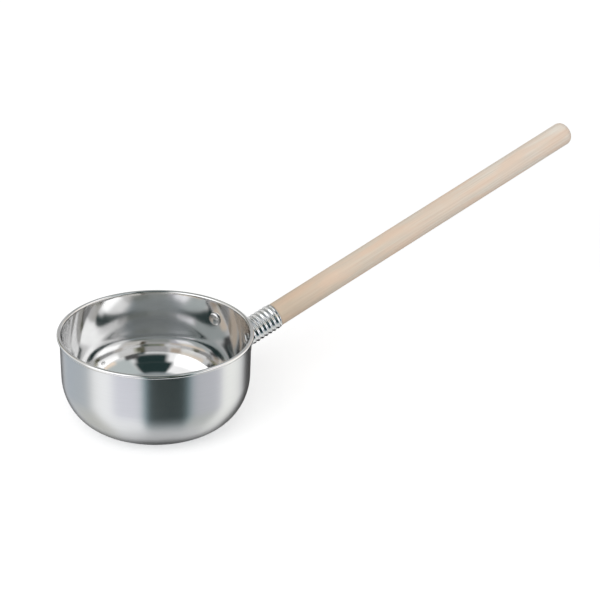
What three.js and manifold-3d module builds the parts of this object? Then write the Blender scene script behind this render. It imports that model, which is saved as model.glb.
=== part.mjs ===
// Stainless steel water ladle: a deep pressed bowl, a riveted bracket, a socket with a rolled thread
// and a round wooden handle that is screwed into the socket.
// Millimetres. +Z is up and +X is the side of the handle. The origin is the centre of the bowl's flat base.

import * as THREE from 'three';
import { mergeVertices } from 'three/addons/utils/BufferGeometryUtils.js';
import Module from 'manifold-3d';

const wasm = await Module();
wasm.setup();

// Bowl, pressed from one sheet with its rim curled outwards
const mouthDiameter = 151;
const bowlHeight = 76.5;
const bowlSheet = 1.2;
const baseDiameter = 84;
const cornerHeight = 39;
const wallLeanShare = 0.01;
const wallBulgeRadius = 1650;
const curlDiameter = 3.5;

// Bracket, a curved plate with a hollow conical boss that carries the socket
const bracketSheet = 1.5;
const earRadius = 9.5;
const bossRimWidth = 4.7;
const bossFootDiameter = 30.6;
const bossSeatDiameter = 22.4;
const bossHeight = 9;

// Rivets through the wall and the bracket
const rivetSpacing = 47;
const rivetDrop = 17.3;
const rivetShankDiameter = 5;
const rivetInnerHeadDiameter = 11;
const rivetInnerHeadHeight = 1.8;
const rivetOuterHeadDiameter = 9;
const rivetOuterHeadHeight = 2.4;
const rivetEdgeShare = 0.25;

// Socket, a drawn cup with a thread rolled into its wall
const socketDiameter = 20.8;
const socketLength = 31.5;
const socketSheet = 0.7;
const socketBottomRadius = 1.6;
const threadPitch = 4.1;
const threadDepth = 1;
const threadRunout = 2.2;
const threadNeck = 1.6;
const threadLip = 0.5;
const threadStartAngle = THREE.MathUtils.degToRad(222);

// Handle, a turned rod whose end is cut to the same thread
const handleDrop = 28.35;
const handleRise = THREE.MathUtils.degToRad(17.9);
const handleDiameter = 20;
const gripLength = 315.5;
const gripEndRadius = 6.5;
const tenonEndGap = 1.2;
const tenonChamfer = 1.5;

// Fit between pieces that touch, and between the two threads
const clearance = 0.3;
const threadClearance = 0.35;

// How finely round forms are divided
const bowlSides = 60;
const rodSides = 24;
const rivetSides = 20;
const cornerSteps = 8;
const wallSteps = 2;
const curlSteps = 6;
const curlHollowSteps = 4;
const stepsPerPitch = 6;
const arcSteps = 4;

// Values worked out from the sizes above
const quarterTurn = Math.PI / 2;
const curlRadius = (curlDiameter - bowlSheet) / 2;
const curlHeight = bowlHeight - curlDiameter / 2;
const wallTopRadius = mouthDiameter / 2 + bowlSheet;
const cornerReach = wallRadius(0) - baseDiameter / 2;
const rivetHeight = bowlHeight - rivetDrop;
const handleHeight = bowlHeight - handleDrop;
const cutLength = cornerReach;
const bothSides = [-1, 1];

const steel = new THREE.MeshStandardMaterial({ color: 0xc6c9cb, metalness: 1, roughness: 0.3 });
const socketSteel = new THREE.MeshStandardMaterial({ color: 0xd2d4d5, metalness: 1, roughness: 0.22 });
const rivetSteel = new THREE.MeshStandardMaterial({ color: 0xb9bcbe, metalness: 1, roughness: 0.35 });
const paleWood = new THREE.MeshStandardMaterial({ color: 0xddcfc0, metalness: 0, roughness: 0.75 });

// The outer face's radius at a height of the wall, which leans in a little and bulges slightly.
function wallRadius(height) {
  const drop = curlHeight - height;
  return wallTopRadius - wallLeanShare * drop - drop ** 2 / (2 * wallBulgeRadius);
}

// How much the wall's radius grows for each unit of height.
function wallSlope(height) {
  return wallLeanShare + (curlHeight - height) / wallBulgeRadius;
}

// The bowl's outer face from the edge of its base to the curl, as radius and height, moved out
// by an offset.
// The corner is a quarter of an ellipse, measured from the wall's own curve, which it meets smoothly.
function wallCurve(offset) {
  const points = [];
  const addPoint = (radius, height, rise, run) => {
    const normal = new THREE.Vector2(rise, -run).normalize();
    points.push(new THREE.Vector2(radius, height).addScaledVector(normal, offset));
  };
  for (let step = 0; step <= cornerSteps; step += 1) {
    const turn = quarterTurn * step / cornerSteps;
    const height = cornerHeight * (1 - Math.cos(turn));
    const radius = wallRadius(height) - cornerReach * (1 - Math.sin(turn));
    const rise = cornerHeight * Math.sin(turn);
    addPoint(radius, height, rise, wallSlope(height) * rise + cornerReach * Math.cos(turn));
  }
  for (let step = 1; step < wallSteps; step += 1) {
    const height = cornerHeight + (curlHeight - cornerHeight) * step / wallSteps;
    addPoint(wallRadius(height), height, 1, wallSlope(height));
  }
  points.push(new THREE.Vector2(wallTopRadius + offset, curlHeight));
  return points;
}

// Points of an arc, as radius and height, from one angle to another.
function arc(centre, radius, from, to, steps) {
  return Array.from({ length: steps + 1 }, (_, step) => {
    const angle = from + (to - from) * step / steps;
    return new THREE.Vector2(centre.x + radius * Math.cos(angle), centre.y + radius * Math.sin(angle));
  });
}

// A profile of radius and height, turned round the Z axis.
function revolve(profile, sides) {
  return new THREE.LatheGeometry(profile, sides).rotateX(quarterTurn);
}

// Turns a closed geometry into a solid that can be joined and cut.
function toSolid(geometry, matrix = new THREE.Matrix4()) {
  const bare = geometry.clone().applyMatrix4(matrix);
  bare.deleteAttribute('normal');
  bare.deleteAttribute('uv');
  const merged = mergeVertices(bare);
  const index = merged.index.array;
  const corners = [];
  for (let i = 0; i < index.length; i += 3) {
    const [a, b, c] = [index[i], index[i + 1], index[i + 2]];
    if (a !== b && b !== c && c !== a) {
      corners.push(a, b, c);
    }
  }
  return new wasm.Manifold(new wasm.Mesh({
    numProp: 3,
    vertProperties: merged.attributes.position.array,
    triVerts: new Uint32Array(corners),
  }));
}

// Turns a solid back into a geometry.
function toGeometry(solid) {
  const mesh = solid.getMesh();
  const geometry = new THREE.BufferGeometry();
  geometry.setAttribute('position', new THREE.BufferAttribute(mesh.vertProperties, 3));
  geometry.setIndex(new THREE.BufferAttribute(mesh.triVerts, 1));
  geometry.computeVertexNormals();
  return geometry;
}

// Where the handle's axis leaves the bowl's outer face: its own Z runs out along the handle.
function handleFrame() {
  const turn = new THREE.Matrix4().makeRotationY(quarterTurn - handleRise);
  return turn.setPosition(wallRadius(handleHeight), 0, handleHeight);
}

// Where a rivet's axis leaves the bowl's outer face: its own Z runs out, square to the wall.
function rivetFrame(side) {
  const radius = wallRadius(rivetHeight);
  const around = side * Math.asin(rivetSpacing / 2 / radius);
  const lean = new THREE.Matrix4().makeRotationY(quarterTurn + Math.atan(wallSlope(rivetHeight)));
  const place = new THREE.Matrix4().makeTranslation(radius, 0, rivetHeight);
  return new THREE.Matrix4().makeRotationZ(around).multiply(place).multiply(lean);
}

// Straight holes for the rivets' shanks.
function rivetHoles() {
  const radius = rivetShankDiameter / 2 + clearance;
  const hole = new THREE.CylinderGeometry(radius, radius, cutLength, rivetSides).rotateX(quarterTurn);
  return bothSides.map((side) => toSolid(hole, rivetFrame(side)));
}

// The sheet runs from the base up the wall, over the rim and round in a curl that stops short of the wall.
function bowlGeometry() {
  const curlCentre = new THREE.Vector2(wallTopRadius - bowlSheet / 2 + curlRadius, curlHeight);
  const curlEnd = -quarterTurn;
  const insideOfCurl = arc(curlCentre, curlRadius - bowlSheet / 2, Math.PI, curlEnd, curlHollowSteps);
  const outsideOfCurl = arc(curlCentre, curlRadius + bowlSheet / 2, curlEnd, Math.PI, curlSteps);
  const profile = [
    new THREE.Vector2(0, 0),
    ...wallCurve(0).slice(0, -1),
    ...insideOfCurl,
    ...outsideOfCurl,
    ...wallCurve(-bowlSheet).slice(0, -1).reverse(),
    new THREE.Vector2(0, bowlSheet),
  ];
  const pressed = toSolid(revolve(profile, bowlSides));
  return toGeometry(rivetHoles().reduce((solid, hole) => solid.subtract(hole), pressed));
}

// An outline like a belt round circles that are listed anticlockwise.
function beltOutline(circles) {
  const outline = new THREE.Shape();
  const normalAngle = (from, to) => {
    const along = Math.atan2(to.y - from.y, to.x - from.x);
    const distance = Math.hypot(to.x - from.x, to.y - from.y);
    return along - Math.acos((from.radius - to.radius) / distance);
  };
  circles.forEach((circle, i) => {
    const before = circles[(i + circles.length - 1) % circles.length];
    const after = circles[(i + 1) % circles.length];
    const from = normalAngle(before, circle);
    const to = normalAngle(circle, after);
    outline.absarc(circle.x, circle.y, circle.radius, from, to);
  });
  return outline;
}

// The boss as a cone on the handle's axis, from behind the wall to its flat seat.
// The inset moves its faces in, for the hollow behind them.
function bossCone(inset) {
  const taperShare = (bossFootDiameter - bossSeatDiameter) / 2 / bossHeight;
  const back = -bossHeight;
  const profile = [
    new THREE.Vector2(0, back),
    new THREE.Vector2(bossFootDiameter / 2 - taperShare * back - inset, back),
    new THREE.Vector2(bossSeatDiameter / 2 + taperShare * inset - inset, bossHeight - inset),
    new THREE.Vector2(0, bossHeight - inset),
  ];
  return toSolid(revolve(profile, rodSides * 2), handleFrame());
}

// A plate that follows the wall, with an ear round each rivet and a hollow boss pressed out of its middle.
function bracketGeometry() {
  const jacket = [...wallCurve(clearance + bracketSheet), ...wallCurve(clearance).reverse()];
  jacket.push(jacket[0].clone());
  const outline = beltOutline([
    { x: 0, y: handleHeight, radius: bossFootDiameter / 2 + bossRimWidth },
    { x: rivetSpacing / 2, y: rivetHeight, radius: earRadius },
    { x: -rivetSpacing / 2, y: rivetHeight, radius: earRadius },
  ]);
  const cutter = new THREE.ExtrudeGeometry(outline, {
    depth: mouthDiameter,
    bevelEnabled: false,
    curveSegments: rivetSides,
  });
  const acrossToAlong = new THREE.Matrix4().makeBasis(
    new THREE.Vector3(0, 1, 0),
    new THREE.Vector3(0, 0, 1),
    new THREE.Vector3(1, 0, 0),
  );
  const plate = toSolid(revolve(jacket, bowlSides)).intersect(toSolid(cutter, acrossToAlong));
  const bowlSpace = [
    new THREE.Vector2(0, -clearance),
    ...wallCurve(clearance),
    new THREE.Vector2(0, curlHeight),
  ];
  const pressed = plate.add(bossCone(0).subtract(toSolid(revolve(bowlSpace, bowlSides))));
  const cuts = [bossCone(bracketSheet), ...rivetHoles()];
  return toGeometry(cuts.reduce((solid, cut) => solid.subtract(cut), pressed));
}

// One rivet head, from the edge at its seat to its crown on the axis.
// It points along +Z or, with a side of -1, along -Z.
function rivetHead(diameter, height, seat, side) {
  const crown = arc(new THREE.Vector2(0, 0), 1, 0, quarterTurn, arcSteps);
  const edge = height * rivetEdgeShare;
  return [
    new THREE.Vector2(diameter / 2, seat),
    ...crown.map((point) => {
      const rise = edge + (height - edge) * point.y;
      return new THREE.Vector2(diameter / 2 * point.x, seat + side * rise);
    }),
  ];
}

// A solid rivet with a low head inside the bowl and a formed head on the bracket.
// Its origin is on the wall's outer face.
function rivetGeometry() {
  const innerRadius = wallRadius(rivetHeight) - bowlSheet;
  const innerHeadRadius = rivetInnerHeadDiameter / 2;
  const hollowOfWall = innerRadius - Math.sqrt(innerRadius ** 2 - innerHeadRadius ** 2);
  const innerSeat = -bowlSheet - hollowOfWall - clearance;
  const outerSeat = bracketSheet + 2 * clearance;
  const profile = [
    ...rivetHead(rivetInnerHeadDiameter, rivetInnerHeadHeight, innerSeat, -1).reverse(),
    new THREE.Vector2(rivetShankDiameter / 2, innerSeat),
    new THREE.Vector2(rivetShankDiameter / 2, outerSeat),
    ...rivetHead(rivetOuterHeadDiameter, rivetOuterHeadHeight, outerSeat, 1),
  ];
  return revolve(profile, rivetSides);
}

// Heights along the handle's axis, from the bowl's outer face
const socketStart = bossHeight + clearance;
const socketMouth = socketStart + socketLength;
const tenonStart = socketStart + socketSheet + tenonEndGap;
const gripStart = socketMouth + clearance;
const gripEnd = gripStart + gripLength;
const threadStart = socketStart + socketBottomRadius + threadNeck;
const threadEnd = socketMouth - threadLip;

// A rolled thread is a tube whose round section keeps its size while its centre circles round the axis,
// once for each pitch that it climbs. The circle grows from nothing at one end and fades at the other.
function rollThread(geometry) {
  const { smoothstep } = THREE.MathUtils;
  const position = geometry.attributes.position;
  for (let i = 0; i < position.count; i += 1) {
    const along = position.getZ(i);
    const grown = smoothstep(along, threadStart - threadRunout / 2, threadStart + threadRunout / 2);
    const faded = 1 - smoothstep(along, threadEnd - threadRunout, threadEnd);
    const swing = threadDepth / 2 * grown * faded;
    const turn = threadStartAngle + 2 * Math.PI * (along - threadStart) / threadPitch;
    position.setX(i, position.getX(i) + swing * Math.cos(turn));
    position.setY(i, position.getY(i) + swing * Math.sin(turn));
  }
  return geometry;
}

// Points up a straight wall of one radius, close enough together to carry the thread.
function threadedWall(radius, from, to) {
  const steps = Math.ceil((to - from) / threadPitch * stepsPerPitch);
  return Array.from({ length: steps + 1 }, (_, step) => {
    return new THREE.Vector2(radius, from + (to - from) * step / steps);
  });
}

// A drawn cup with a flat bottom on the boss. Its wall is rolled to the thread, and its lip is plain.
function socketGeometry() {
  const outer = socketDiameter / 2;
  const inner = outer - socketSheet;
  const bend = socketStart + socketBottomRadius;
  const bendCentre = new THREE.Vector2(outer - socketBottomRadius, bend);
  const outerBend = arc(bendCentre, socketBottomRadius, -quarterTurn, 0, arcSteps);
  const innerBend = arc(bendCentre, socketBottomRadius - socketSheet, 0, -quarterTurn, arcSteps);
  const profile = [
    new THREE.Vector2(0, socketStart),
    ...outerBend.slice(0, -1),
    ...threadedWall(outer, bend, socketMouth),
    ...threadedWall(inner, bend, socketMouth).reverse(),
    ...innerBend.slice(1),
    new THREE.Vector2(0, socketStart + socketSheet),
  ];
  return rollThread(revolve(profile, rodSides));
}

// A rod with a thread on its inner end, a shoulder that meets the socket's lip, and a rounded outer end.
function handleGeometry() {
  const tenon = socketDiameter / 2 - socketSheet - threadClearance;
  const grip = handleDiameter / 2;
  const endCentre = new THREE.Vector2(grip - gripEndRadius, gripEnd - gripEndRadius);
  const profile = [
    new THREE.Vector2(0, tenonStart),
    new THREE.Vector2(tenon - tenonChamfer, tenonStart),
    ...threadedWall(tenon, tenonStart + tenonChamfer, gripStart),
    new THREE.Vector2(grip, gripStart),
    ...arc(endCentre, gripEndRadius, 0, quarterTurn, 2 * arcSteps),
    new THREE.Vector2(0, gripEnd),
  ];
  return rollThread(revolve(profile, rodSides));
}

// Gives a geometry its name, material and place.
function piece(name, geometry, material, matrix = new THREE.Matrix4()) {
  const mesh = new THREE.Mesh(geometry, material.clone());
  mesh.name = name;
  mesh.applyMatrix4(matrix);
  return mesh;
}

const ladle = new THREE.Group();
ladle.add(
  piece('bowl', bowlGeometry(), steel),
  piece('handle_bracket', bracketGeometry(), steel),
  piece('rivet_left', rivetGeometry(), rivetSteel, rivetFrame(1)),
  piece('rivet_right', rivetGeometry(), rivetSteel, rivetFrame(-1)),
  piece('thread_socket', socketGeometry(), socketSteel, handleFrame()),
  piece('handle', handleGeometry(), paleWood, handleFrame()),
);

export default ladle;
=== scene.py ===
import math

import bmesh
import bpy
from mathutils import Matrix, Vector


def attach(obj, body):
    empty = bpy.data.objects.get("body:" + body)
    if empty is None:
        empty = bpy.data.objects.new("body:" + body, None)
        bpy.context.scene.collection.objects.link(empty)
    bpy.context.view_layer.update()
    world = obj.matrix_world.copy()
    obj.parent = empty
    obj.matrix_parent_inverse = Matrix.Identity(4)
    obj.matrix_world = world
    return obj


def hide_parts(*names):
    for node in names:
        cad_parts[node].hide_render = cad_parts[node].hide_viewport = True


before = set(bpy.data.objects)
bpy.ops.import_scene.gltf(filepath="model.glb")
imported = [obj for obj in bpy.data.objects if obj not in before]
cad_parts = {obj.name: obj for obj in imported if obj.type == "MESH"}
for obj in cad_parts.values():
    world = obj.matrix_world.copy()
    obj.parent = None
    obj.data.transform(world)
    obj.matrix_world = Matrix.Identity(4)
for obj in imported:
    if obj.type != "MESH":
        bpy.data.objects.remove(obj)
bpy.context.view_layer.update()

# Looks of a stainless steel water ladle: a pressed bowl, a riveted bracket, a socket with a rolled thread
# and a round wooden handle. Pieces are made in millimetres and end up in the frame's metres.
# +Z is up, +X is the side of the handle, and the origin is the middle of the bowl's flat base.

MILLIMETRE = 0.001
QUARTER_TURN = math.pi / 2
FULL_TURN = 2 * math.pi

# Bowl
MOUTH_DIAMETER = 151
BOWL_HEIGHT = 76.5
BOWL_SHEET = 1.2
BASE_DIAMETER = 84
CORNER_HEIGHT = 39
WALL_LEAN_SHARE = 0.01
WALL_BULGE_RADIUS = 1650
CURL_DIAMETER = 3.5

# Bracket
BRACKET_SHEET = 1.5
EAR_RADIUS = 9.5
BOSS_RIM_WIDTH = 4.7
BOSS_FOOT_DIAMETER = 30.6
BOSS_SEAT_DIAMETER = 22.4
BOSS_HEIGHT = 9
PRESS_VOXEL = 0.34
PRESS_SMOOTHING_PASSES = 10
PRESS_SMOOTHING_SHARE = 0.5

# Rivets
RIVET_SPACING = 47
RIVET_DROP = 17.3
RIVET_SHANK_DIAMETER = 5
RIVET_INNER_HEAD = (11, 1.8)
RIVET_OUTER_HEAD = (9, 2.4)
RIVET_EDGE_SHARE = 0.25

# Socket
SOCKET_DIAMETER = 20.8
SOCKET_LENGTH = 31.5
SOCKET_SHEET = 0.7
SOCKET_BOTTOM_RADIUS = 1.6
THREAD_PITCH = 4.1
THREAD_DEPTH = 1
THREAD_RUNOUT = 2.2
THREAD_NECK = 1.6
THREAD_LIP = 0.5
THREAD_START_ANGLE = math.radians(222)

# Handle
HANDLE_DROP = 28.35
HANDLE_RISE = math.radians(17.9)
HANDLE_DIAMETER = 20
GRIP_LENGTH = 315.5
GRIP_END_RADIUS = 6.5
GRIP_SHOULDER_RADIUS = 1.1
TENON_END_GAP = 1.2
TENON_CHAMFER = 1.5

CLEARANCE = 0.3
THREAD_CLEARANCE = 0.35

# How finely forms are divided
BOWL_SIDES = 240
ROD_SIDES = 120
RIVET_SIDES = 64
BRACKET_SIDES = 96
CORNER_STEPS = 48
WALL_STEPS = 24
CURL_STEPS = 20
ARC_STEPS = 12
STEPS_PER_PITCH = 22
GRIP_STEPS = 60
MERGE_DISTANCE = 0.001
SHARP_ANGLE = math.radians(38)

# Worked out from the sizes above
CURL_RADIUS = (CURL_DIAMETER - BOWL_SHEET) / 2
CURL_HEIGHT = BOWL_HEIGHT - CURL_DIAMETER / 2
WALL_TOP_RADIUS = MOUTH_DIAMETER / 2 + BOWL_SHEET
RIVET_HEIGHT = BOWL_HEIGHT - RIVET_DROP
HANDLE_HEIGHT = BOWL_HEIGHT - HANDLE_DROP
SOCKET_START = BOSS_HEIGHT + CLEARANCE
SOCKET_MOUTH = SOCKET_START + SOCKET_LENGTH
TENON_START = SOCKET_START + SOCKET_SHEET + TENON_END_GAP
GRIP_START = SOCKET_MOUTH + CLEARANCE
GRIP_END = GRIP_START + GRIP_LENGTH
THREAD_START = SOCKET_START + SOCKET_BOTTOM_RADIUS + THREAD_NECK
THREAD_END = SOCKET_MOUTH - THREAD_LIP


# Profiles

def wall_radius(height):
    """The outer face's radius at a height of the wall, which leans in a little and bulges slightly."""
    drop = CURL_HEIGHT - height
    return WALL_TOP_RADIUS - WALL_LEAN_SHARE * drop - drop**2 / (2 * WALL_BULGE_RADIUS)


def wall_slope(height):
    """How much the wall's radius grows for each unit of height."""
    return WALL_LEAN_SHARE + (CURL_HEIGHT - height) / WALL_BULGE_RADIUS


def wall_curve(offset):
    """The bowl's outer face from the edge of its base to the curl, moved out by an offset."""
    reach = wall_radius(0) - BASE_DIAMETER / 2
    places = []
    for step in range(CORNER_STEPS + 1):
        turn = QUARTER_TURN * step / CORNER_STEPS
        height = CORNER_HEIGHT * (1 - math.cos(turn))
        rise = CORNER_HEIGHT * math.sin(turn)
        run = wall_slope(height) * rise + reach * math.cos(turn)
        places.append((wall_radius(height) - reach * (1 - math.sin(turn)), height, rise, run))
    for step in range(1, WALL_STEPS):
        height = CORNER_HEIGHT + (CURL_HEIGHT - CORNER_HEIGHT) * step / WALL_STEPS
        places.append((wall_radius(height), height, 1, wall_slope(height)))
    points = []
    for radius, height, rise, run in places:
        length = math.hypot(rise, run)
        points.append((radius + offset * rise / length, height - offset * run / length))
    return points + [(WALL_TOP_RADIUS + offset, CURL_HEIGHT)]


def arc(centre, radius, start, end, steps=ARC_STEPS):
    """Points of an arc, as radius and height, from one angle to another."""
    angles = [start + (end - start) * step / steps for step in range(steps + 1)]
    return [(centre[0] + radius * math.cos(a), centre[1] + radius * math.sin(a)) for a in angles]


def smooth_step(value, low, high):
    share = min(max((value - low) / (high - low), 0), 1)
    return share * share * (3 - 2 * share)


def handle_frame():
    """Where the handle's axis leaves the bowl: its own Z runs out along the handle."""
    place = Matrix.Translation((wall_radius(HANDLE_HEIGHT), 0, HANDLE_HEIGHT))
    return place @ Matrix.Rotation(QUARTER_TURN - HANDLE_RISE, 4, "Y")


def rivet_frame(side):
    """Where a rivet's axis leaves the bowl: its own Z runs out, square to the wall."""
    radius = wall_radius(RIVET_HEIGHT)
    around = Matrix.Rotation(side * math.asin(RIVET_SPACING / 2 / radius), 4, "Z")
    place = Matrix.Translation((radius, 0, RIVET_HEIGHT))
    return around @ place @ Matrix.Rotation(QUARTER_TURN + math.atan(wall_slope(RIVET_HEIGHT)), 4, "Y")


# Making and cutting forms

def turned(*strips, sides):
    """Turns strips of radius and height round the Z axis. A strip's number is the material of its faces."""
    form = bmesh.new()
    for number, strip in enumerate(strips):
        known = set(form.faces)
        points = [form.verts.new((radius, 0, height)) for radius, height in strip]
        edges = [form.edges.new(pair) for pair in zip(points, points[1:])]
        bmesh.ops.spin(
            form, geom=points + edges, cent=(0, 0, 0), axis=(0, 0, 1), dvec=(0, 0, 0),
            angle=FULL_TURN, steps=sides, use_merge=True, use_duplicate=False,
        )
        for face in set(form.faces) - known:
            face.material_index = number
    bmesh.ops.remove_doubles(form, verts=form.verts, dist=MERGE_DISTANCE)
    bmesh.ops.recalc_face_normals(form, faces=form.faces)
    return form


def as_object(form, name, place=Matrix.Identity(4)):
    form.transform(place)
    mesh = bpy.data.meshes.new(name)
    form.to_mesh(mesh)
    form.free()
    made = bpy.data.objects.new(name, mesh)
    bpy.context.collection.objects.link(made)
    return made


def apply_modifiers(made):
    evaluated = made.evaluated_get(bpy.context.evaluated_depsgraph_get())
    before = made.data
    made.data = bpy.data.meshes.new_from_object(evaluated)
    made.modifiers.clear()
    bpy.data.meshes.remove(before)


def combine(made, tool, operation):
    """Joins a form to a piece, or cuts it, and removes the form."""
    modifier = made.modifiers.new(operation.lower(), "BOOLEAN")
    modifier.operation = operation
    modifier.solver = "EXACT"
    modifier.object = tool
    apply_modifiers(made)
    bpy.data.objects.remove(tool)


def finished(made, materials, slot, *nodes):
    """Gives a piece its size in metres, smooth faces, materials and its place in the frame."""
    made.data.transform(Matrix.Scale(MILLIMETRE, 4))
    if not made.data.materials:
        for material in materials:
            made.data.materials.append(material)
    made.data.shade_smooth()
    made.data.set_sharp_from_angle(angle=SHARP_ANGLE)
    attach(made, "root")
    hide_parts(*nodes)
    return made


def rivet_holes():
    """Straight forms for the holes round the rivets' shanks."""
    radius = RIVET_SHANK_DIAMETER / 2 + CLEARANCE
    holes = []
    for side in (-1, 1):
        form = bmesh.new()
        bmesh.ops.create_cone(
            form, cap_ends=True, segments=RIVET_SIDES, radius1=radius, radius2=radius, depth=BOWL_HEIGHT / 2,
        )
        holes.append(as_object(form, "hole", rivet_frame(side)))
    return holes


# Pieces

def make_bowl(materials):
    """The pressed bowl: satin outside, polished from its inner wall over the curl."""
    centre = (WALL_TOP_RADIUS - BOWL_SHEET / 2 + CURL_RADIUS, CURL_HEIGHT)
    half_sheet = BOWL_SHEET / 2
    hollow = arc(centre, CURL_RADIUS - half_sheet, math.pi, -QUARTER_TURN, CURL_STEPS)
    bead = arc(centre, CURL_RADIUS + half_sheet, -QUARTER_TURN, math.pi, CURL_STEPS)
    outside = [(0, 0), *wall_curve(0)[:-1], *hollow]
    inside = [hollow[-1], *bead, *reversed(wall_curve(-BOWL_SHEET)[:-1]), (0, BOWL_SHEET)]
    bowl = as_object(turned(outside, inside, sides=BOWL_SIDES), "pressed_bowl")
    for material in materials:
        bowl.data.materials.append(material)
    for hole in rivet_holes():
        combine(bowl, hole, "DIFFERENCE")
    return finished(bowl, materials, "bowl_steel", "bowl")


def boss_cone(inset, name):
    """The bracket's boss as a cone on the handle's axis, with its faces moved in by an inset."""
    taper = (BOSS_FOOT_DIAMETER - BOSS_SEAT_DIAMETER) / 2 / BOSS_HEIGHT
    seat = BOSS_HEIGHT - inset
    form = bmesh.new()
    bmesh.ops.create_cone(
        form, cap_ends=True, segments=BRACKET_SIDES,
        radius1=BOSS_FOOT_DIAMETER / 2 + taper * BOSS_HEIGHT - inset,
        radius2=BOSS_SEAT_DIAMETER / 2 + taper * inset - inset,
        depth=seat + BOSS_HEIGHT,
        matrix=Matrix.Translation((0, 0, (seat - BOSS_HEIGHT) / 2)),
    )
    return as_object(form, name, handle_frame())


def belt_prism():
    """The bracket's outline, a belt round its boss and its two ears, as a prism along X."""
    circles = [(0, HANDLE_HEIGHT, BOSS_FOOT_DIAMETER / 2 + BOSS_RIM_WIDTH)]
    circles += [(side * RIVET_SPACING / 2, RIVET_HEIGHT, EAR_RADIUS) for side in (-1, 1)]
    form = bmesh.new()
    for across, height, radius in circles:
        for along in (BASE_DIAMETER / 2, MOUTH_DIAMETER):
            place = Matrix.Translation((along, across, height)) @ Matrix.Rotation(QUARTER_TURN, 4, "Y")
            bmesh.ops.create_circle(form, segments=BRACKET_SIDES, radius=radius, matrix=place)
    hull = bmesh.ops.convex_hull(form, input=form.verts)
    inner = set(hull["geom_interior"] + hull["geom_unused"])
    spare = [item for item in inner if isinstance(item, bmesh.types.BMVert)]
    bmesh.ops.delete(form, geom=spare, context="VERTS")
    bmesh.ops.recalc_face_normals(form, faces=form.faces)
    return as_object(form, "outline")


def make_bracket(material):
    """The curved plate with its ears and its hollow boss, with edges rounded as by a press."""
    jacket = [*wall_curve(CLEARANCE + BRACKET_SHEET), *reversed(wall_curve(CLEARANCE))]
    bracket = as_object(turned([*jacket, jacket[0]], sides=BOWL_SIDES), "riveted_bracket")
    combine(bracket, belt_prism(), "INTERSECT")
    boss = boss_cone(0, "boss")
    bowl_space = [(0, -CLEARANCE), *wall_curve(CLEARANCE), (0, CURL_HEIGHT)]
    combine(boss, as_object(turned(bowl_space, sides=BOWL_SIDES), "bowl_space"), "DIFFERENCE")
    combine(bracket, boss, "UNION")
    for tool in (boss_cone(BRACKET_SHEET, "hollow"), *rivet_holes()):
        combine(bracket, tool, "DIFFERENCE")
    remesh = bracket.modifiers.new("pressed", "REMESH")
    remesh.mode = "VOXEL"
    remesh.voxel_size = PRESS_VOXEL
    apply_modifiers(bracket)
    form = bmesh.new()
    form.from_mesh(bracket.data)
    for _ in range(PRESS_SMOOTHING_PASSES):
        bmesh.ops.smooth_vert(
            form, verts=form.verts, factor=PRESS_SMOOTHING_SHARE,
            use_axis_x=True, use_axis_y=True, use_axis_z=True,
        )
    form.to_mesh(bracket.data)
    form.free()
    return finished(bracket, [material], "bracket_steel", "handle_bracket")


def rivet_head(size, seat, side):
    """One rivet head, from the edge at its seat to its crown on the axis."""
    radius, height = size[0] / 2, size[1]
    edge = height * RIVET_EDGE_SHARE
    dome = arc((0, 0), 1, 0, QUARTER_TURN)
    return [(radius, seat)] + [(radius * x, seat + side * (edge + (height - edge) * y)) for x, y in dome]


def make_rivet(side, name, material, node):
    """A solid rivet with a low head inside the bowl and a formed head on the bracket."""
    inner_radius = wall_radius(RIVET_HEIGHT) - BOWL_SHEET
    hollow = inner_radius - math.sqrt(inner_radius**2 - (RIVET_INNER_HEAD[0] / 2) ** 2)
    inner_seat = -BOWL_SHEET - hollow - CLEARANCE
    outer_seat = BRACKET_SHEET + 2 * CLEARANCE
    shank = RIVET_SHANK_DIAMETER / 2
    profile = [
        *reversed(rivet_head(RIVET_INNER_HEAD, inner_seat, -1)),
        (shank, inner_seat),
        (shank, outer_seat),
        *rivet_head(RIVET_OUTER_HEAD, outer_seat, 1),
    ]
    rivet = as_object(turned(profile, sides=RIVET_SIDES), name, rivet_frame(side))
    return finished(rivet, [material], "rivet_steel", node)


def roll_thread(form):
    """Moves each round section of a tube sideways, once round its axis for each pitch that it climbs."""
    for point in form.verts:
        along = point.co.z
        grown = smooth_step(along, THREAD_START - THREAD_RUNOUT / 2, THREAD_START + THREAD_RUNOUT / 2)
        faded = 1 - smooth_step(along, THREAD_END - THREAD_RUNOUT, THREAD_END)
        swing = THREAD_DEPTH / 2 * grown * faded
        turn = THREAD_START_ANGLE + FULL_TURN * (along - THREAD_START) / THREAD_PITCH
        point.co.x += swing * math.cos(turn)
        point.co.y += swing * math.sin(turn)
    return form


def threaded_wall(radius, start, end):
    """Points up a straight wall, close enough together to carry the thread."""
    steps = math.ceil((end - start) / THREAD_PITCH * STEPS_PER_PITCH)
    return [(radius, start + (end - start) * step / steps) for step in range(steps + 1)]


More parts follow.
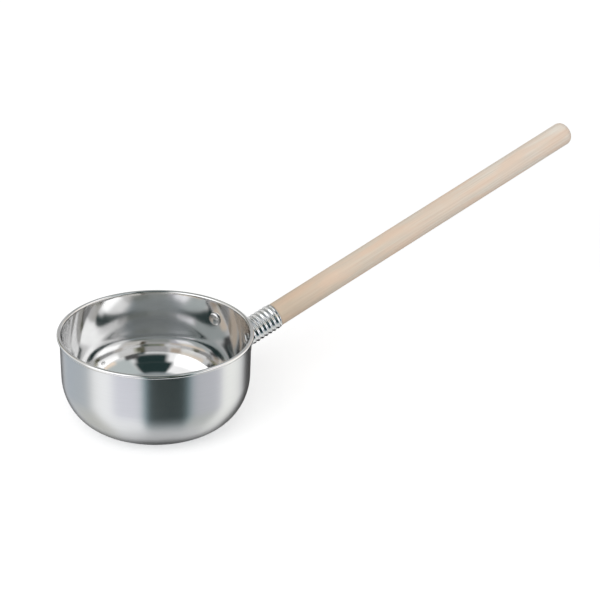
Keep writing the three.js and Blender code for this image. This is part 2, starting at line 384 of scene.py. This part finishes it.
def make_socket(material):
    """The drawn cup with a thread rolled into its wall and a rounded lip."""
    outer = SOCKET_DIAMETER / 2
    inner = outer - SOCKET_SHEET
    lip = SOCKET_SHEET / 2
    bend = SOCKET_START + SOCKET_BOTTOM_RADIUS
    centre = (outer - SOCKET_BOTTOM_RADIUS, bend)
    profile = [
        (0, SOCKET_START),
        *arc(centre, SOCKET_BOTTOM_RADIUS, -QUARTER_TURN, 0)[:-1],
        *threaded_wall(outer, bend, SOCKET_MOUTH - lip)[:-1],
        *arc((outer - lip, SOCKET_MOUTH - lip), lip, 0, math.pi),
        *reversed(threaded_wall(inner, bend, SOCKET_MOUTH - lip)[:-1]),
        *arc(centre, SOCKET_BOTTOM_RADIUS - SOCKET_SHEET, 0, -QUARTER_TURN)[1:],
        (0, SOCKET_START + SOCKET_SHEET),
    ]
    form = roll_thread(turned(profile, sides=ROD_SIDES))
    socket = as_object(form, "rolled_socket", handle_frame())
    return finished(socket, [material], "socket_steel", "thread_socket")


def make_handle(material):
    """The turned rod: a threaded end, a shoulder that meets the socket's lip, and a rounded outer end."""
    tenon = SOCKET_DIAMETER / 2 - SOCKET_SHEET - THREAD_CLEARANCE
    grip = HANDLE_DIAMETER / 2
    shoulder = GRIP_START + GRIP_SHOULDER_RADIUS
    end = GRIP_END - GRIP_END_RADIUS
    straight = [(grip, shoulder + (end - shoulder) * step / GRIP_STEPS) for step in range(1, GRIP_STEPS)]
    profile = [
        (0, TENON_START),
        (tenon - TENON_CHAMFER, TENON_START),
        *threaded_wall(tenon, TENON_START + TENON_CHAMFER, GRIP_START),
        *arc((grip - GRIP_SHOULDER_RADIUS, shoulder), GRIP_SHOULDER_RADIUS, -QUARTER_TURN, 0),
        *straight,
        *arc((grip - GRIP_END_RADIUS, end), GRIP_END_RADIUS, 0, QUARTER_TURN, 2 * ARC_STEPS),
        (0, GRIP_END),
    ]
    form = roll_thread(turned(profile, sides=ROD_SIDES))
    handle = as_object(form, "wooden_handle", handle_frame())
    return finished(handle, [material], "handle_wood", "handle")


# Materials

# Steel
SMUDGE_RANGE = (0.38, 0.68)
WAVE_SCALE = 22.0
GRAIN_DEPTH = 0.00002
QUARTER_OF_TURN = 0.25

# Wood. Reaches are in metres along the rod, and a share is how strongly a colour covers those before it.
WOOD_AT_SOCKET = (0.68, 0.58, 0.46, 1)
WOOD_AT_END = (0.88, 0.82, 0.73, 1)
PALING_REACH = (0.04, 0.36)
PITH_OFFSET = (0.031, 0.012, 0)
PITH_TILT = (0.012, 0.02, 0)
RING_RATE = 2600.0
RING_DRIFT = 0.004
RING_DRIFT_STRETCH = (60, 60, 5)
RING_COLOUR = (0.65, 0.53, 0.425, 1)
RING_SHARE = 0.3
FIBRE_STRETCH = (1500, 1500, 28)
FIBRE_RANGE = (0.42, 0.72)
FIBRE_COLOUR = (0.58, 0.46, 0.36, 1)
FIBRE_SHARE = 0.4
FIBRE_RELIEF = 0.0002
PATCH_STRETCH = (100, 100, 20)
PATCH_RANGE = (0.42, 0.62)
PATCH_COLOUR = (0.84, 0.6, 0.44, 1)
PATCH_SHARE = 0.5
STAIN_REACH = (0.055, 0.1)
STAIN_COLOUR = (0.5, 0.36, 0.24, 1)
STAIN_SHARE = 0.3
WOOD_ROUGHNESS = (0.55, 0.72)


def add_node(tree, kind, inputs=None, **settings):
    """Adds a node. An input is a value or the output that feeds it."""
    node = tree.nodes.new(kind)
    for name, value in settings.items():
        setattr(node, name, value)
    for name, value in (inputs or {}).items():
        if isinstance(value, bpy.types.NodeSocket):
            tree.links.new(value, node.inputs[name])
        else:
            node.inputs[name].default_value = value
    return node


def maths(tree, operation, first, second=0.0, third=0.0):
    node = add_node(tree, "ShaderNodeMath", {0: first, 1: second, 2: third}, operation=operation)
    return node.outputs[0]


def blend(tree, factor, first, second):
    """A colour between two others."""
    mix = add_node(tree, "ShaderNodeMix", {"Factor": factor, 6: first, 7: second}, data_type="RGBA")
    return mix.outputs[2]


def spread(tree, value, source, target, interpolation="LINEAR"):
    """A value moved from one range to another."""
    moved = add_node(tree, "ShaderNodeMapRange", {
        "Value": value, "From Min": source[0], "From Max": source[1],
        "To Min": target[0], "To Max": target[1],
    }, interpolation_type=interpolation)
    return moved.outputs[0]


def stretched_noise(tree, place, stretch, detail):
    """Noise whose grain is finer along the axes with larger numbers."""
    mapping = add_node(tree, "ShaderNodeMapping", {"Vector": place, "Scale": stretch})
    noise = add_node(tree, "ShaderNodeTexNoise", {
        "Vector": mapping.outputs[0], "Scale": 1.0, "Detail": detail,
    })
    return noise.outputs[0]


def new_group(name, inputs, outputs):
    """An empty shader group with its named sockets, and its input and output nodes."""
    group = bpy.data.node_groups.new(name, "ShaderNodeTree")
    for socket, kind, value in inputs:
        made = group.interface.new_socket(socket, in_out="INPUT", socket_type=kind)
        if value is not None:
            made.default_value = value
    for socket, kind in outputs:
        group.interface.new_socket(socket, in_out="OUTPUT", socket_type=kind)
    return group, group.nodes.new("NodeGroupInput"), group.nodes.new("NodeGroupOutput")


def use_group(tree, group, inputs):
    return add_node(tree, "ShaderNodeGroup", inputs, node_tree=group)


def new_material(name):
    """An empty material with its node tree, its shader and the piece's own coordinates."""
    material = bpy.data.materials.new(name)
    material.use_nodes = True
    tree = material.node_tree
    place = add_node(tree, "ShaderNodeTexCoord").outputs["Object"]
    return material, tree, tree.nodes["Principled BSDF"], place


def handling_marks_group():
    """Soft smudges and hair scratches from use, as a change of roughness, a tint and a height."""
    group, given, result = new_group(
        "handling_marks",
        [("Vector", "NodeSocketVector", None), ("Smudge Scale", "NodeSocketFloat", 40.0),
         ("Scratch Scale", "NodeSocketFloat", 900.0), ("Base Roughness", "NodeSocketFloat", 0.1),
         ("Smudge Amount", "NodeSocketFloat", 0.05), ("Scratch Amount", "NodeSocketFloat", 0.02),
         ("Clean Colour", "NodeSocketColor", None), ("Worn Colour", "NodeSocketColor", None)],
        [("Roughness", "NodeSocketFloat"), ("Color", "NodeSocketColor"), ("Height", "NodeSocketFloat")],
    )
    smudge = add_node(group, "ShaderNodeTexNoise", {
        "Vector": given.outputs["Vector"], "Scale": given.outputs["Smudge Scale"],
        "Detail": 4.0, "Roughness": 0.55,
    })
    smudged = spread(group, smudge.outputs[0], SMUDGE_RANGE, (0.0, 1.0), "SMOOTHSTEP")
    scratch = add_node(group, "ShaderNodeTexNoise", {
        "Vector": given.outputs["Vector"], "Scale": given.outputs["Scratch Scale"], "Detail": 2.0,
    })
    wide = maths(group, "MULTIPLY", smudged, given.outputs["Smudge Amount"])
    fine = maths(group, "MULTIPLY", scratch.outputs[0], given.outputs["Scratch Amount"])
    rough = maths(group, "ADD", given.outputs["Base Roughness"], maths(group, "ADD", wide, fine))
    tint = blend(group, smudged, given.outputs["Clean Colour"], given.outputs["Worn Colour"])
    group.links.new(rough, result.inputs["Roughness"])
    group.links.new(tint, result.inputs["Color"])
    group.links.new(scratch.outputs[0], result.inputs["Height"])
    return group


def steel_material(name, marks, roughness, clean, worn, line_scale, smudge, anisotropy, bump, wave=0.0):
    """Stainless steel. The lines of its finish run round the bowl's axis where line_scale stretches them."""
    material, tree, shader, place = new_material(name)
    shader.inputs["Metallic"].default_value = 1.0
    shader.inputs["Anisotropic"].default_value = anisotropy
    lines = add_node(tree, "ShaderNodeMapping", {"Vector": place, "Scale": line_scale})
    finish = use_group(tree, marks, {
        "Vector": lines.outputs[0], "Base Roughness": roughness, "Smudge Amount": smudge,
        "Clean Colour": (*clean, 1), "Worn Colour": (*worn, 1),
    })
    tree.links.new(finish.outputs["Roughness"], shader.inputs["Roughness"])
    tree.links.new(finish.outputs["Color"], shader.inputs["Base Color"])
    ripple = add_node(tree, "ShaderNodeTexNoise", {"Vector": place, "Scale": WAVE_SCALE, "Detail": 1.0})
    waves = add_node(tree, "ShaderNodeBump", {
        "Height": ripple.outputs[0], "Strength": 1.0, "Distance": wave,
    })
    grain = add_node(tree, "ShaderNodeBump", {
        "Height": finish.outputs["Height"], "Strength": bump, "Distance": GRAIN_DEPTH,
        "Normal": waves.outputs[0],
    })
    tree.links.new(grain.outputs[0], shader.inputs["Normal"])
    if anisotropy:
        around = add_node(tree, "ShaderNodeVectorMath", {0: (0, 0, 1), 1: place}, operation="CROSS_PRODUCT")
        tree.links.new(around.outputs[0], shader.inputs["Tangent"])
        shader.inputs["Anisotropic Rotation"].default_value = QUARTER_OF_TURN
    return material


def wood_material():
    """Pale, fine sanded wood: growth rings round a pith beside the rod, fine fibres and warm patches.

    It pales towards the end and is a little darker at the socket.
    """
    material, tree, shader, place = new_material("pale_wood")
    lay = add_node(tree, "ShaderNodeMapping", {
        "Vector": place, "Location": Vector((-wall_radius(HANDLE_HEIGHT), 0, -HANDLE_HEIGHT)) * MILLIMETRE,
    })
    along_rod = add_node(tree, "ShaderNodeMapping", {
        "Vector": lay.outputs[0], "Rotation": (0, HANDLE_RISE - QUARTER_TURN, 0),
    }).outputs[0]
    drift = stretched_noise(tree, along_rod, RING_DRIFT_STRETCH, 2.0)
    from_pith = add_node(tree, "ShaderNodeMapping", {
        "Vector": along_rod, "Location": PITH_OFFSET, "Rotation": PITH_TILT, "Scale": (1, 1, 0),
    })
    radius = add_node(tree, "ShaderNodeVectorMath", {0: from_pith.outputs[0]}, operation="LENGTH")
    bent = maths(tree, "MULTIPLY_ADD", drift, RING_DRIFT, radius.outputs["Value"])
    wave = maths(tree, "SINE", maths(tree, "MULTIPLY", bent, RING_RATE))
    rings = spread(tree, wave, (-1.0, 1.0), (0.0, 1.0), "SMOOTHSTEP")
    fibres = stretched_noise(tree, along_rod, FIBRE_STRETCH, 3.0)
    patches = stretched_noise(tree, along_rod, PATCH_STRETCH, 2.0)
    distance = add_node(tree, "ShaderNodeSeparateXYZ", {0: along_rod}).outputs["Z"]

    paling = spread(tree, distance, PALING_REACH, (0.0, 1.0))
    ringed = maths(tree, "MULTIPLY", rings, RING_SHARE)
    fibrous = spread(tree, fibres, FIBRE_RANGE, (0.0, FIBRE_SHARE))
    patched = spread(tree, patches, PATCH_RANGE, (0.0, PATCH_SHARE))
    stained = spread(tree, distance, STAIN_REACH, (STAIN_SHARE, 0.0))
    colour = blend(tree, paling, WOOD_AT_SOCKET, WOOD_AT_END)
    colour = blend(tree, ringed, colour, RING_COLOUR)
    colour = blend(tree, fibrous, colour, FIBRE_COLOUR)
    colour = blend(tree, patched, colour, PATCH_COLOUR)
    colour = blend(tree, stained, colour, STAIN_COLOUR)
    tree.links.new(colour, shader.inputs["Base Color"])
    tree.links.new(spread(tree, fibres, (0.3, 0.7), WOOD_ROUGHNESS), shader.inputs["Roughness"])
    relief = add_node(tree, "ShaderNodeBump", {"Height": fibres, "Strength": 0.5, "Distance": FIBRE_RELIEF})
    tree.links.new(relief.outputs[0], shader.inputs["Normal"])
    return material


# Studio

CAMERA_AIM = (118.29, -31.47, 86.49)
CAMERA_DISTANCE = 2500
CAMERA_AZIMUTH = math.radians(-34.653)
CAMERA_ELEVATION = math.radians(25.566)
CAMERA_ROLL = math.radians(0.798)
CAMERA_LENS = 185.06
CAMERA_SENSOR = 36
CAMERA_REACH = 50
HALF_TURN_DEGREES = 180.0
MIRROR_BOUNCES = 16
EVEN_LIGHT = 0.6
FLOOR_HALF_WIDTH = 6000
FLOOR_TO_OBJECT = (0.78, 0.79, 0.8, 1)
FLOOR_TO_CAMERA = (0.8, 0.8, 0.8, 1)
FLOOR_GLOW_REACH = (0.5, 1.6)
FLOOR_GLOW = (0.42, 0.65)
WHITE = (1, 1, 1, 1)


def direction(azimuth, elevation):
    """A direction from the ladle. Azimuth 0 points to the camera's side and grows to the camera's right."""
    turn = CAMERA_AZIMUTH + azimuth
    flat = math.cos(elevation)
    return Vector((math.sin(turn) * flat, -math.cos(turn) * flat, math.sin(elevation)))


def make_camera():
    back = direction(0, CAMERA_ELEVATION)
    right = Vector((math.cos(CAMERA_AZIMUTH), math.sin(CAMERA_AZIMUTH), 0))
    up = back.cross(right)
    rolled_right = right * math.cos(CAMERA_ROLL) + up * math.sin(CAMERA_ROLL)
    rolled_up = up * math.cos(CAMERA_ROLL) - right * math.sin(CAMERA_ROLL)
    place = Matrix((rolled_right, rolled_up, back)).transposed().to_4x4()
    place.translation = (Vector(CAMERA_AIM) + back * CAMERA_DISTANCE) * MILLIMETRE
    data = bpy.data.cameras.new("camera")
    data.lens = CAMERA_LENS
    data.sensor_width = CAMERA_SENSOR
    data.clip_end = CAMERA_REACH
    camera = bpy.data.objects.new("camera", data)
    camera.matrix_world = place
    bpy.context.collection.objects.link(camera)
    bpy.context.scene.camera = camera


def make_lamp(name, azimuth, elevation, distance, size, power):
    """A soft square lamp that faces the ladle. The steel mirrors the room's cards in place of it."""
    data = bpy.data.lights.new(name, "AREA")
    data.size = size
    data.energy = power
    lamp = bpy.data.objects.new(name, data)
    towards = direction(math.radians(azimuth), math.radians(elevation))
    lamp.location = towards * distance
    lamp.rotation_euler = towards.to_track_quat("Z", "Y").to_euler()
    lamp.visible_glossy = False
    bpy.context.collection.objects.link(lamp)


def make_floor():
    """A white floor that shows the ladle's shadow. It glows a little to the camera, more so further out."""
    form = bmesh.new()
    bmesh.ops.create_grid(form, x_segments=1, y_segments=1, size=FLOOR_HALF_WIDTH)
    floor = as_object(form, "floor", Matrix.Scale(MILLIMETRE, 4))
    material = bpy.data.materials.new("white_floor")
    material.use_nodes = True
    tree = material.node_tree
    tree.nodes.clear()
    towards_object = add_node(tree, "ShaderNodeBsdfDiffuse", {"Color": FLOOR_TO_OBJECT})
    towards_camera = add_node(tree, "ShaderNodeBsdfDiffuse", {"Color": FLOOR_TO_CAMERA})
    place = add_node(tree, "ShaderNodeTexCoord")
    far = add_node(tree, "ShaderNodeVectorMath", {0: place.outputs["Object"]}, operation="LENGTH")
    lift = spread(tree, far.outputs["Value"], FLOOR_GLOW_REACH, FLOOR_GLOW)
    glow = add_node(tree, "ShaderNodeEmission", {"Color": WHITE, "Strength": lift})
    lit = add_node(tree, "ShaderNodeAddShader", {0: towards_camera.outputs[0], 1: glow.outputs[0]})
    path = add_node(tree, "ShaderNodeLightPath")
    shown = add_node(tree, "ShaderNodeMixShader", {
        0: path.outputs["Is Camera Ray"], 1: towards_object.outputs[0], 2: lit.outputs[0],
    })
    output = add_node(tree, "ShaderNodeOutputMaterial")
    tree.links.new(shown.outputs[0], output.inputs["Surface"])
    floor.data.materials.append(material)
    floor.visible_glossy = False


# The studio that the steel mirrors. The bare room has a colour for each elevation, from straight down to
# straight up.
ROOM_TONES = [
    (-90, (0.7, 0.7, 0.7)), (-50, (0.75, 0.75, 0.75)), (-10, (0.85, 0.85, 0.85)), (10, (0.95, 0.95, 0.95)),
    (50, (0.85, 0.85, 0.85)), (62, (0.5, 0.5, 0.5)), (70, (0.36, 0.4, 0.42)), (90, (0.3, 0.32, 0.32)),
]
# Cards hang in it, later ones in front of earlier ones. Each has its left and right edge as azimuths from the
# camera's side, its lower and upper edge as elevations, the softness of its edges in degrees, and its colour.
CARDS = [
    ("left_table", (-170, -125), (9, 21), 5, (0.6, 0.6, 0.5)),
    ("left_wall", (-150, -92), (22, 54), 8, (0.8, 0.78, 0.74)),
    ("left_post", (-156, -140), (10, 46), 4, (0.06, 0.04, 0.02)),
    ("post_foot", (-160, -132), (9, 20), 4, (0.15, 0.15, 0.1)),
    ("left_ceiling", (-165, -100), (54, 72), 6, (0.22, 0.24, 0.22)),
    ("left_cloth", (-140, -84), (-36, -4), 9, (0.45, 0.5, 0.55)),
    ("left_foot", (-135, -82), (-66, -36), 9, (0.6, 0.6, 0.55)),
    ("left_softbox", (-80, -15), (-66, 68), 5, (1.1, 1.1, 1.1)),
    ("left_window", (-84, -26), (16, 46), 5, (1.8, 1.8, 1.8)),
    ("left_haze", (-50, -14), (-32, 4), 8, (0.6, 0.6, 0.7)),
    ("right_wall", (38, 80), (26, 68), 6, (0.55, 0.6, 0.6)),
    ("right_cloth", (38, 91), (-34, -12), 6, (0.4, 0.4, 0.5)),
    ("right_foot", (42, 95), (-56, -32), 8, (0.52, 0.54, 0.5)),
    ("right_softbox", (91, 124), (-62, 54), 6, (1.05, 1.05, 1.0)),
    ("right_window", (84, 126), (42, 62), 5, (1.35, 1.35, 1.4)),
    ("tan_shelf", (60, 122), (19, 31), 4, (1.0, 0.85, 0.7)),
    ("right_strip", (44, 126), (-12, 13), 5, (1.3, 1.3, 1.3)),
    ("cloth_top", (-24, 36), (41, 71), 5, (0.02, 0.04, 0.04)),
    ("cloth_above", (-13, 32), (24, 46), 5, (0.02, 0.04, 0.04)),
    ("cloth_foot", (17, 36), (15, 24), 3, (0.02, 0.04, 0.04)),
    ("cloth_side", (26, 45), (20, 31), 3, (0.1, 0.1, 0.1)),
    ("table", (-28, 44), (8, 17), 3, (0.42, 0.4, 0.26)),
    ("table_end", (30, 56), (8, 15), 3, (0.1, 0.08, 0.04)),
    ("cloth_edge", (-13, 46), (-55, 9), 7, (0.04, 0.2, 0.24)),
    ("cloth_below", (-8, 42), (-50, 7), 4, (0.0, 0.01, 0.01)),
    ("far_wall", (126, 146), (26, 56), 6, (0.65, 0.65, 0.7)),
    ("far_warm", (122, 148), (12, 26), 5, (0.6, 0.5, 0.4)),
    ("far_green", (144, 206), (30, 68), 6, (0.36, 0.38, 0.36)),
    ("far_shade", (152, 208), (-16, 30), 6, (0.5, 0.5, 0.5)),
    ("dark_corner", (135, 162), (-50, -12), 5, (0.0, 0.0, 0.0)),
    # A black card below and behind the bowl, seen only in reflections: a painted shadow standing in for the
    # floor's contact shadow, which the steel's lower curve mirrors.
    ("painted_floor_shadow", (148, 212), (-80, -18), 6, (0.0, 0.0, 0.0)),
]


def card_group():
    """A mask that is 1 on a card, 0 beside it, and smooth between the two. Its inputs are in degrees."""
    names = (
        "Azimuth", "Elevation", "Middle Azimuth", "Middle Elevation", "Half Width", "Half Height", "Softness",
    )
    group, given, result = new_group(
        "studio_card", [(name, "NodeSocketFloat", 0.0) for name in names], [("Mask", "NodeSocketFloat")],
    )
    masks = []
    for axis, half in (("Azimuth", "Half Width"), ("Elevation", "Half Height")):
        away = maths(group, "SUBTRACT", given.outputs[axis], given.outputs["Middle " + axis])
        if axis == "Azimuth":
            away = maths(group, "WRAP", away, HALF_TURN_DEGREES, -HALF_TURN_DEGREES)
        away = maths(group, "ABSOLUTE", away)
        low = maths(group, "SUBTRACT", given.outputs[half], given.outputs["Softness"])
        high = maths(group, "ADD", given.outputs[half], given.outputs["Softness"])
        masks.append(spread(group, away, (low, high), (1.0, 0.0), "SMOOTHSTEP"))
    group.links.new(maths(group, "MULTIPLY", *masks), result.inputs["Mask"])
    return group


def make_world():
    """White to the camera, even light for matt surfaces, and the room with its cards for reflections."""
    world = bpy.data.worlds.new("studio")
    bpy.context.scene.world = world
    world.use_nodes = True
    tree = world.node_tree
    tree.nodes.clear()
    place = add_node(tree, "ShaderNodeTexCoord").outputs["Generated"]
    ahead, right = direction(0, 0), direction(QUARTER_TURN, 0)
    forward, sideways = (
        add_node(tree, "ShaderNodeVectorMath", {0: place, 1: axis}, operation="DOT_PRODUCT").outputs["Value"]
        for axis in (ahead, right)
    )
    upward = add_node(tree, "ShaderNodeSeparateXYZ", {0: place}).outputs["Z"]
    azimuth = maths(tree, "DEGREES", maths(tree, "ARCTAN2", sideways, forward))
    elevation = maths(tree, "DEGREES", maths(tree, "ARCSINE", upward))
    share = maths(tree, "MULTIPLY_ADD", upward, 0.5, 0.5)
    ramp = add_node(tree, "ShaderNodeValToRGB", {0: share})
    ramp.color_ramp.elements.remove(ramp.color_ramp.elements[1])
    for number, (height, tone) in enumerate(ROOM_TONES):
        position = 0.5 + 0.5 * math.sin(math.radians(height))
        stop = ramp.color_ramp.elements[0] if number == 0 else ramp.color_ramp.elements.new(position)
        stop.position = position
        stop.color = (*tone, 1)
    colour = ramp.outputs[0]
    group = card_group()
    for name, sides, heights, softness, tint in CARDS:
        card = use_group(tree, group, {
            "Azimuth": azimuth, "Elevation": elevation, "Softness": softness,
            "Middle Azimuth": sum(sides) / 2, "Half Width": (sides[1] - sides[0]) / 2,
            "Middle Elevation": sum(heights) / 2, "Half Height": (heights[1] - heights[0]) / 2,
        })
        card.label = name
        colour = blend(tree, card.outputs[0], colour, (*tint, 1))
    path = add_node(tree, "ShaderNodeLightPath")
    room = add_node(tree, "ShaderNodeBackground", {"Color": colour})
    even = add_node(tree, "ShaderNodeBackground", {"Color": WHITE, "Strength": EVEN_LIGHT})
    white = add_node(tree, "ShaderNodeBackground", {"Color": WHITE})
    seen = add_node(tree, "ShaderNodeMixShader", {
        0: path.outputs["Is Glossy Ray"], 1: even.outputs[0], 2: room.outputs[0],
    })
    shown = add_node(tree, "ShaderNodeMixShader", {
        0: path.outputs["Is Camera Ray"], 1: seen.outputs[0], 2: white.outputs[0],
    })
    output = add_node(tree, "ShaderNodeOutputWorld")
    tree.links.new(shown.outputs[0], output.inputs["Surface"])


marks = handling_marks_group()
satin = steel_material(
    "satin_steel", marks, roughness=0.27, clean=(0.75, 0.76, 0.77), worn=(0.735, 0.745, 0.755),
    line_scale=(1.5, 1.5, 30), smudge=0.02, anisotropy=0.8, bump=0.02,
)
mirror = steel_material(
    "mirror_steel", marks, roughness=0.06, clean=(0.78, 0.78, 0.78), worn=(0.75, 0.75, 0.75),
    line_scale=(1, 1, 1), smudge=0.02, anisotropy=0.6, bump=0.03, wave=0.0001,
)
pressed = steel_material(
    "pressed_steel", marks, roughness=0.28, clean=(0.72, 0.73, 0.73), worn=(0.66, 0.67, 0.67),
    line_scale=(1, 1, 1), smudge=0.08, anisotropy=0.0, bump=0.2,
)
rivet_steel = steel_material(
    "rivet_steel", marks, roughness=0.16, clean=(0.74, 0.74, 0.74), worn=(0.66, 0.66, 0.66),
    line_scale=(3, 3, 3), smudge=0.1, anisotropy=0.0, bump=0.1,
)
bright = steel_material(
    "bright_steel", marks, roughness=0.12, clean=(0.8, 0.81, 0.82), worn=(0.74, 0.75, 0.76),
    line_scale=(2, 2, 2), smudge=0.06, anisotropy=0.0, bump=0.1,
)

make_camera()
make_floor()
make_world()
make_lamp("key", azimuth=-20, elevation=38, distance=1.6, size=1.4, power=12)
make_lamp("fill", azimuth=60, elevation=40, distance=1.8, size=1.2, power=2)
make_bowl([satin, mirror])
make_bracket(pressed)
make_rivet(1, "left_rivet", rivet_steel, "rivet_left")
make_rivet(-1, "right_rivet", rivet_steel, "rivet_right")
make_socket(bright)
make_handle(wood_material())
bpy.context.scene.view_settings.view_transform = "Standard"
bpy.context.scene.cycles.glossy_bounces = MIRROR_BOUNCES
bpy.context.scene.cycles.max_bounces = MIRROR_BOUNCES
